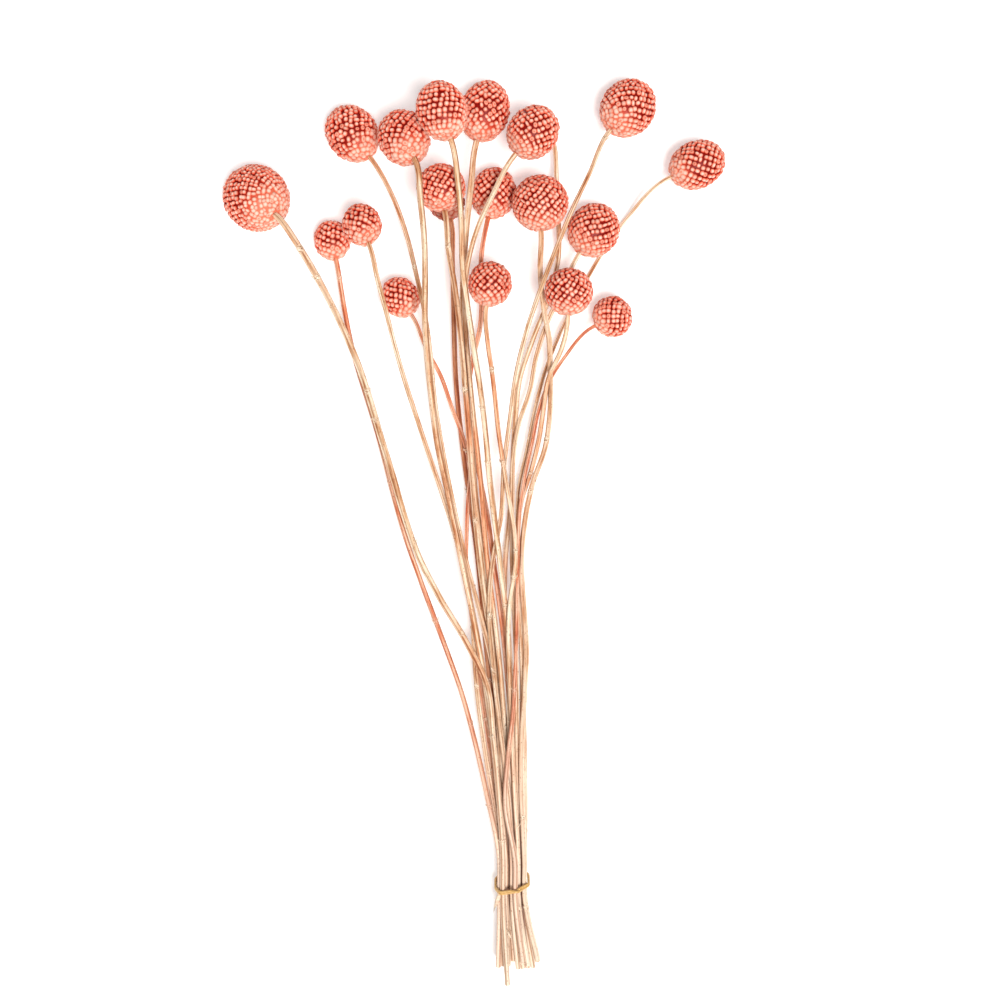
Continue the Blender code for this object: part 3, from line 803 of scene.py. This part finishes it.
        # The groove value paints shade between the ridges.
        mark = np.stack([np.clip(knot, 0.0, 1.0), np.clip(-GROOVE_SHADE_GAIN * ridges, 0.0, 1.0),
                         np.repeat(cream[:, None], STEM_SIDES, axis=1)], axis=2)
        points = points.reshape(-1, 3)
        dye_and_shade = np.zeros((len(points), 3))
        dye_and_shade[:, 0] = np.repeat(np.clip(dye, 0.0, 1.0), STEM_SIDES)
        # How closely other stems lie, which paints shade between them.
        dye_and_shade[:, 1] = crowding(self.number, points)
        return points, fibre.reshape(-1, 3), mark.reshape(-1, 3), dye_and_shade

    def at_length(self, spot):
        """Middle, radius and direction of the stem, and two directions across it, at a spot."""
        index = min(np.searchsorted(self.lengths, spot), len(self.lengths) - 1)
        return (self.middles[index], self.radius[index], self.ahead[index],
                self.side[index], self.up[index])

    def slivers(self):
        """The dry scales left at the knots, and the peeled slivers."""
        draw = self.draw
        made = []
        for spot, strength in self.knots:
            for _ in range(draw.integers(*SCALES_AT_STRONG) if strength > STRONG_KNOT else 1):
                middle, radius, ahead, side, up = self.at_length(spot)
                turn = draw.uniform(0.0, 2 * math.pi)
                facing = math.cos(turn) * side + math.sin(turn) * up
                length = draw.uniform(*SCALE_LENGTH) * MM
                lean = draw.uniform(*SCALE_LEAN)
                base = middle + facing * radius * SCALE_ROOT
                run = (ahead * math.cos(lean) + facing * math.sin(lean)) * length
                made.append(sliver(base, run, draw.uniform(*SCALE_WIDTH) * MM, facing))
        for _, y, run, width in [peel for peel in PEELS if peel[0] == self.number]:
            middle, radius, ahead, side, up = self.at_length(self.length_at(y * MM))
            run = np.array(run) * MM
            facing = unit(run - (run @ ahead) * ahead)
            level = unit(np.cross(run, np.cross((0.0, 0.0, 1.0), run)))
            made.append(sliver(middle + facing * radius * PEEL_ROOT, run, width * MM, level))
        return made

    def piece(self, materials):
        """The stalk's object."""
        points, fibre, mark, dye_and_shade = self.surface()
        count = len(self.lengths)
        here = np.arange(STEM_SIDES)
        after = (here + 1) % STEM_SIDES
        rows = (np.arange(count - 1) * STEM_SIDES)[:, None]
        quads = np.stack([here + rows, here + rows + STEM_SIDES, after + rows + STEM_SIDES,
                          after + rows], axis=2).reshape(-1, 4)
        last = (count - 1) * STEM_SIDES
        cut_middle = np.full(STEM_SIDES, len(points))
        tris = np.vstack([np.stack([after, cut_middle, here], axis=1),
                          np.stack([here + last, cut_middle + 1, after + last], axis=1)])
        points = np.vstack([points, self.middles[0], self.middles[-1]])
        fibre = np.vstack([fibre, fibre[0], fibre[-1]])
        mark = np.vstack([mark, mark[0], mark[-1]])
        dye_and_shade = np.vstack([dye_and_shade, dye_and_shade[0], dye_and_shade[-1]])
        for scale in self.slivers():
            quads = np.vstack([quads, SLIVER_QUADS + len(points)])
            tris = np.vstack([tris, SLIVER_TIPS + len(points)])
            points = np.vstack([points, scale])
            fibre = np.vstack([fibre, scale / FIBRE_SCALE])
            mark = np.vstack([mark, np.tile((0.0, 0.0, SCALE_CREAM), (len(scale), 1))])
            dye_and_shade = np.vstack([dye_and_shade, np.zeros((len(scale), 3))])
        slot = SLOTS[stem_name(self.number)]
        piece = new_mesh_object(f"stalk_{self.number:02d}", points, [quads, tris],
                                {"fibre": fibre, "mark": mark, "dye_and_shade": dye_and_shade}, materials[slot])
        place(piece, stem_name(self.number))


def band_path(outer):
    """Even points of a loop pulled tight round the stems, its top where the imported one's is."""
    # The band lies midway between the second and third rings of each packed stem.
    tie = np.array([[*(middles[1] + middles[2])[[0, 2]] / 2, radii[1]]
                    for middles, radii in STEM_RINGS.values()])
    corners = packed_corners("rubber_band")[0]
    flat = np.column_stack([np.ones(len(corners)), corners[:, 0], corners[:, 2]])
    plane = np.linalg.lstsq(flat, corners[:, 1], rcond=None)[0]
    angles = np.linspace(0.0, 2 * math.pi, BAND_ANGLES, endpoint=False)
    out = np.stack([np.cos(angles), np.sin(angles)], axis=1)
    outermost = (tie[:, :2] @ out.T + tie[:, 2:]).argmax(axis=0)
    flat = tie[outermost, :2] + out * (tie[outermost, 2:] + outer)
    top = flat[:, 1].max()
    level = top + BAND_TILT_SHARE * (flat[:, 1] - top)
    ahead = plane[0] + plane[1] * flat[:, 0] + plane[2] * level
    loop = np.column_stack([flat[:, 0], ahead, flat[:, 1]])
    closed = np.vstack([loop, loop[:1]])
    run = np.concatenate(([0.0], np.cumsum(np.linalg.norm(np.diff(closed, axis=0), axis=1))))
    even = np.linspace(0.0, run[-1], STRAND_STEPS, endpoint=False)
    return np.stack([np.interp(even, run, closed[:, i]) for i in range(3)], axis=1)


def band_piece(material):
    """The rubber band: a strand that goes round twice, its two rounds crossing at the front."""
    loop = band_path(STRAND_RADIUS + BAND_SNUG)
    middle = loop.mean(axis=0)
    ahead = unit(np.roll(loop, -1, axis=0) - np.roll(loop, 1, axis=0))
    outward = loop - middle
    outward = unit(outward - (outward * ahead).sum(axis=1, keepdims=True) * ahead)
    across = np.cross(ahead, outward)
    angle = np.degrees(np.arctan2(loop[:, 2] - middle[2], loop[:, 0] - middle[0])) % 360.0
    past = smooth_step(angle, CROSSING_AT - CROSSING_SPREAD, CROSSING_AT + CROSSING_SPREAD)
    strands = []
    spread = STRAND_SPACING / 2
    for round_number in (0, 1):
        # The two rounds swap sides at the crossing, where the first lifts over the second.
        turn = math.pi * (past + round_number - 0.5)
        lift = spread * (np.cos(turn) + np.abs(np.cos(turn)))[:, None]
        strands.append(loop + across * (spread * np.sin(turn))[:, None] + outward * lift)
    line = np.vstack(strands)
    ahead = unit(np.roll(line, -1, axis=0) - np.roll(line, 1, axis=0))
    outward = np.vstack([outward, outward])
    outward = unit(outward - (outward * ahead).sum(axis=1, keepdims=True) * ahead)
    across = np.cross(ahead, outward)
    turn = np.arange(STRAND_SIDES) * 2 * math.pi / STRAND_SIDES
    points = (line[:, None] + outward[:, None] * (STRAND_RADIUS * np.cos(turn))[None, :, None]
              + across[:, None] * (STRAND_RADIUS * np.sin(turn))[None, :, None]).reshape(-1, 3)
    here = np.arange(STRAND_SIDES)
    after = (here + 1) % STRAND_SIDES
    count = len(line)
    row = (np.arange(count) * STRAND_SIDES)[:, None]
    following = (((np.arange(count) + 1) % count) * STRAND_SIDES)[:, None]
    quads = np.stack([here + row, after + row, after + following, here + following],
                     axis=2).reshape(-1, 4)
    piece = new_mesh_object("elastic_band", points, [quads], {}, material)
    place(piece, "rubber_band")


def camera():
    """The camera, looking straight down on the bunch."""
    data = bpy.data.cameras.new("camera")
    data.lens = CAMERA_LENS
    data.sensor_width = CAMERA_SENSOR
    made = bpy.data.objects.new("camera", data)
    made.location = CAMERA_AT
    bpy.context.scene.collection.objects.link(made)
    bpy.context.scene.camera = made


def sun(name, direction, strength, spread, colour):
    """A sun lamp that shines along the direction."""
    data = bpy.data.lights.new(name, "SUN")
    data.energy = strength
    data.angle = math.radians(spread)
    data.color = colour
    made = bpy.data.objects.new(name, data)
    made.rotation_mode = "QUATERNION"
    made.rotation_quaternion = Vector(direction).to_track_quat("-Z", "Y")
    bpy.context.scene.collection.objects.link(made)


def studio():
    """A pale floor, an even pale surround and one soft light from above the lower right."""
    bpy.context.scene.view_settings.view_transform = "Standard"
    world = bpy.data.worlds.new("studio")
    world.use_nodes = True
    background = world.node_tree.nodes["Background"]
    background.inputs["Color"].default_value = WORLD_COLOUR
    background.inputs["Strength"].default_value = WORLD_STRENGTH
    bpy.context.scene.world = world
    sun("key_light", KEY_DIRECTION, KEY_STRENGTH, KEY_SPREAD, KEY_COLOUR)
    half = FLOOR_HALF
    mesh = bpy.data.meshes.new("floor")
    mesh.from_pydata([(-half, -half, 0), (half, -half, 0), (half, half, 0), (-half, half, 0)],
                     [], [(0, 1, 2, 3)])
    tree = Tree("floor")
    tree.shader.inputs["Base Color"].default_value = FLOOR_COLOUR
    tree.shader.inputs["Emission Color"].default_value = (*WHITE, 1.0)
    tree.shader.inputs["Emission Strength"].default_value = FLOOR_GLOW
    tree.gloss(*FLOOR_GLOSS)
    mesh.materials.append(tree.material)
    floor = bpy.data.objects.new("floor", mesh)
    bpy.context.scene.collection.objects.link(floor)
    floor.location.z = -FLOOR_BELOW


camera()
studio()
coral = floret_material()
stem_materials = {slot: stem_material(slot) for slot in STEM_TONES}
for flower in FLOWERS:
    head_piece(flower, coral)
    Stem(flower).piece(stem_materials)
band_piece(rubber_material())
